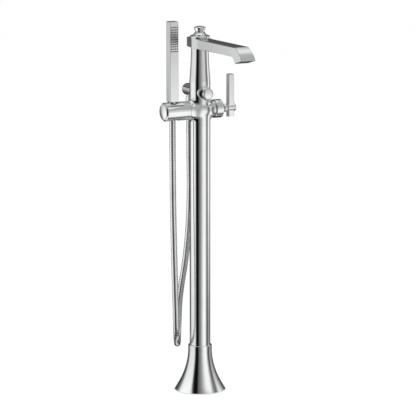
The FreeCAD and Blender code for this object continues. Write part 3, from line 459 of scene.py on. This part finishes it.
def make_knob():
    low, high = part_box("diverter_knob")
    radius = (high.x - low.x) / 2
    middle = (low.y + high.y) / 2
    axis = high.z - radius
    points, faces = turned(
        knob_profile(radius), lambda x, z, reach: (x, middle - reach, axis + z), 0)
    peg = [(PEG_RADIUS, axis - radius + PEG_START_IN_RIM)]
    peg += arc(
        (PEG_RADIUS - PEG_ROUND, low.z + PEG_ROUND), PEG_ROUND, 0, -QUARTER_TURN)
    peg_points, peg_faces = turned(
        peg, lambda x, y, reach: (x, middle + y, reach), len(points))
    knob = mesh_object("domed_knob", points + peg_points, faces + peg_faces)
    shape = bmesh.new()
    shape.from_mesh(knob.data)
    bmesh.ops.recalc_face_normals(shape, faces=shape.faces)
    shape.to_mesh(knob.data)
    shape.free()
    knob.data.materials.append(MATERIALS["chrome"])
    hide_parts("diverter_knob")
    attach(knob, "diverter")


def dress_nodes():
    for subpart in frame["record"]["subparts"]:
        mesh = frame["nodes"][subpart["node"]].data
        mesh.materials.clear()
        mesh.materials.append(MATERIALS[FINISHES.get(subpart["node"], subpart["material_slot"])])
    for name in UNREFLECTED_NODES:
        frame["nodes"][name].visible_glossy = False


# Studio
def between(value, table):
    """Value read off a table of steps, in straight lines between them."""
    for (low, a), (high, b) in zip(table, table[1:]):
        if value <= high:
            return a + (b - a) * (value - low) / (high - low)
    return table[-1][1]


def way_from(start, end, value):
    """Share of the way from start to end at which a value lies, from 0 to 1."""
    return min(max((value - start) / (end - start), 0.0), 1.0)


def card_level(turn, height):
    """Brightness of the cards at one place on their ring."""
    low, full, still, high = FADE_HEIGHTS
    floor_share = between(turn, FLOOR_SHARES)
    top_share = between(turn, TOP_SHARES)
    fade = [(0.0, floor_share), (low, floor_share), (full, 1.0), (still, 1.0), (high, top_share)]
    return between(turn, CARD_BANDS) * between(height, fade)


def upper_level(turn, elevation):
    """Brightness of the upper studio in one direction."""
    behind = way_from(UPPER_FRONT_TURN, UPPER_BACK_TURN, abs(turn))
    front = between(elevation, UPPER_FRONT) * (1 - behind)
    back = between(elevation, UPPER_BACK) * behind
    above = way_from(FLAG_TOP, FLAG_END, elevation)
    return (front + back) * (above + (1 - above) * between(turn, FLAG_SHARES))


def card_rows():
    """Rings of the floor card, the cards and the dome: reach, height and brightness all round."""
    turns = list(range(-HALF_TURN, HALF_TURN, CARD_STEP))
    foot = [card_level(turn, FLOOR_CARD_HEIGHT) for turn in turns]
    floor = [
        (reach, FLOOR_CARD_HEIGHT, [share * level + own for level in foot])
        for reach, share, own in FLOOR_RINGS
    ]
    wall = [
        (CARD_RADIUS, height, [card_level(turn, height) for turn in turns])
        for height in (FLOOR_CARD_HEIGHT, *FADE_HEIGHTS, CARD_TOP)
    ]
    dome = []
    for elevation in range(0, QUARTER_TURN + 1, CARD_STEP):
        slope = math.radians(elevation)
        reach = UPPER_RADIUS * math.cos(slope)
        height = CARD_TOP + UPPER_RADIUS * math.sin(slope)
        dome.append((reach, height, [upper_level(turn, elevation) for turn in turns]))
    return turns, (floor, wall, dome)


def glow_material():
    """Material that shines as brightly as the mesh's glow says."""
    material = bpy.data.materials.new("studio_cards")
    material.use_nodes = True
    tree = material.node_tree
    tree.nodes.clear()
    level = tree.nodes.new("ShaderNodeAttribute")
    level.attribute_name = "glow"
    light = tree.nodes.new("ShaderNodeEmission")
    output = tree.nodes.new("ShaderNodeOutputMaterial")
    tree.links.new(level.outputs["Fac"], light.inputs["Strength"])
    tree.links.new(light.outputs["Emission"], output.inputs["Surface"])
    return material


def make_cards():
    """Cards round the object, a floor card and a dome; only reflections see them."""
    turns, groups = card_rows()
    points = []
    glow = []
    faces = []
    for rows in groups:
        faces += skin(len(points), len(rows), len(turns))
        for reach, height, levels in rows:
            for turn in turns:
                angle = math.radians(CAMERA_AZIMUTH + turn)
                points.append((math.sin(angle) * reach, -math.cos(angle) * reach, height))
            glow += levels
    cards = mesh_object("studio_cards", points, faces)
    attribute = cards.data.attributes.new("glow", "FLOAT", "POINT")
    attribute.data.foreach_set("value", glow)
    cards.data.materials.append(glow_material())
    cards.visible_camera = False
    cards.visible_diffuse = False
    cards.visible_shadow = False
    cards.visible_transmission = False


def background_rays(tree):
    """Socket that is 1 for the rays that show the white background."""
    rays = tree.nodes.new("ShaderNodeLightPath")
    seen = rays.outputs["Is Camera Ray"]
    for kind in ("Is Glossy Ray", "Is Transmission Ray"):
        either = tree.nodes.new("ShaderNodeMath")
        either.operation = "MAXIMUM"
        tree.links.new(seen, either.inputs[0])
        tree.links.new(rays.outputs[kind], either.inputs[1])
        seen = either.outputs["Value"]
    return seen


def make_floor():
    points = []
    for number in range(FLOOR_SIDES):
        angle = 2 * math.pi * number / FLOOR_SIDES
        points.append((FLOOR_RADIUS * math.cos(angle), FLOOR_RADIUS * math.sin(angle), FLOOR_LEVEL))
    floor = mesh_object("floor", points, [tuple(range(FLOOR_SIDES))], False)
    material = bpy.data.materials.new("pale_floor")
    material.use_nodes = True
    tree = material.node_tree
    tree.nodes.clear()
    matte = node(tree, "ShaderNodeBsdfDiffuse", Color=FLOOR_COLOUR)
    white = node(tree, "ShaderNodeEmission", Color=WHITE, Strength=WHITE_STRENGTH)
    part = tree.nodes.new("ShaderNodeMath")
    part.operation = "MULTIPLY"
    part.inputs[1].default_value = FLOOR_WHITE_SHARE
    share = tree.nodes.new("ShaderNodeMixShader")
    output = tree.nodes.new("ShaderNodeOutputMaterial")
    tree.links.new(background_rays(tree), part.inputs[0])
    tree.links.new(part.outputs["Value"], share.inputs["Fac"])
    tree.links.new(matte.outputs["BSDF"], share.inputs[1])
    tree.links.new(white.outputs["Emission"], share.inputs[2])
    tree.links.new(share.outputs["Shader"], output.inputs["Surface"])
    floor.data.materials.append(material)


def make_world():
    world = bpy.data.worlds.new("studio")
    world.use_nodes = True
    tree = world.node_tree
    tree.nodes.clear()
    fill = node(tree, "ShaderNodeBackground", Color=WHITE, Strength=FILL_STRENGTH)
    white = node(tree, "ShaderNodeBackground", Color=WHITE, Strength=WHITE_STRENGTH)
    pick = tree.nodes.new("ShaderNodeMixShader")
    output = tree.nodes.new("ShaderNodeOutputWorld")
    tree.links.new(background_rays(tree), pick.inputs["Fac"])
    tree.links.new(fill.outputs["Background"], pick.inputs[1])
    tree.links.new(white.outputs["Background"], pick.inputs[2])
    tree.links.new(pick.outputs["Shader"], output.inputs["Surface"])
    bpy.context.scene.world = world


def make_lamp():
    data = bpy.data.lights.new("soft_light", "AREA")
    data.shape = "DISK"
    data.size = LAMP_SIZE
    data.energy = LAMP_ENERGY
    lamp = add_object("soft_light", data)
    lamp.location = LAMP_PLACE
    aim = Vector(LAMP_TARGET) - lamp.location
    lamp.rotation_euler = aim.to_track_quat("-Z", "Y").to_euler()
    lamp.visible_glossy = False


make_camera()
dress_nodes()
make_hose()
make_knob()
make_cards()
make_floor()
make_world()
make_lamp()
bpy.context.scene.view_settings.view_transform = "Standard"
